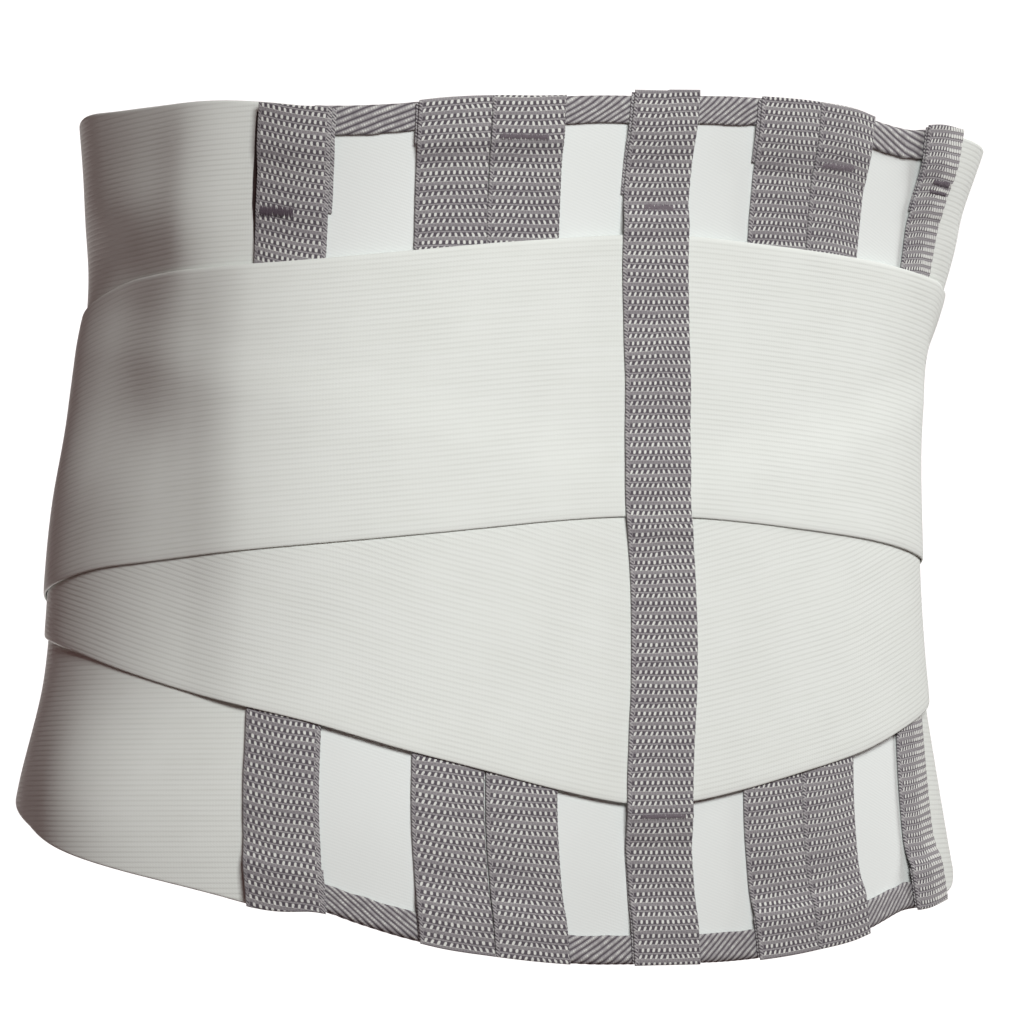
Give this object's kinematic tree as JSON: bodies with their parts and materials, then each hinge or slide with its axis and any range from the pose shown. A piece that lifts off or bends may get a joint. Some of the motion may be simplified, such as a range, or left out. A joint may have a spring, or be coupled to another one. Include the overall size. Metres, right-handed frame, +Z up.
{
  "type": "sacrolumbar support belt",
  "caption": "Waist-hugging lumbar back brace with crossed elastic straps, a smooth back panel and upright webbing stay casings",
  "frame": {"origin": "the middle of the waist hollow, at half of the belt's height at the spine", "axes": "+Z up along the torso, the spine line toward -Y, the front closure toward +Y, the wearer's left toward -X"},
  "size_m": [0.3587, 0.2649, 0.2934],
  "materials": {
    "panel_cloth": "fine smooth weave",
    "elastic": "ribbed elastic, matte",
    "webbing": "mottled coarse webbing, matte",
    "hook_tape": "short hooks, matte"
  },
  "bodies": {
    "root": {"back_panel": "panel_cloth", "side_panel_left": "elastic", "side_panel_right": "elastic", "lower_strap_left": "elastic", "lower_strap_right": "elastic", "upper_strap_left": "elastic", "upper_strap_right": "elastic", "top_binding": "webbing", "bottom_binding": "webbing", "outer_tape_left": "webbing", "inner_tape_left_a": "webbing", "inner_tape_left_b": "webbing", "spine_tape": "webbing", "inner_tape_right_a": "webbing", "inner_tape_right_b": "webbing", "outer_tape_right": "webbing", "strap_tab_left": "hook_tape", "strap_tab_right": "hook_tape", "closure_patch": "hook_tape"}
  },
  "joints": []
}
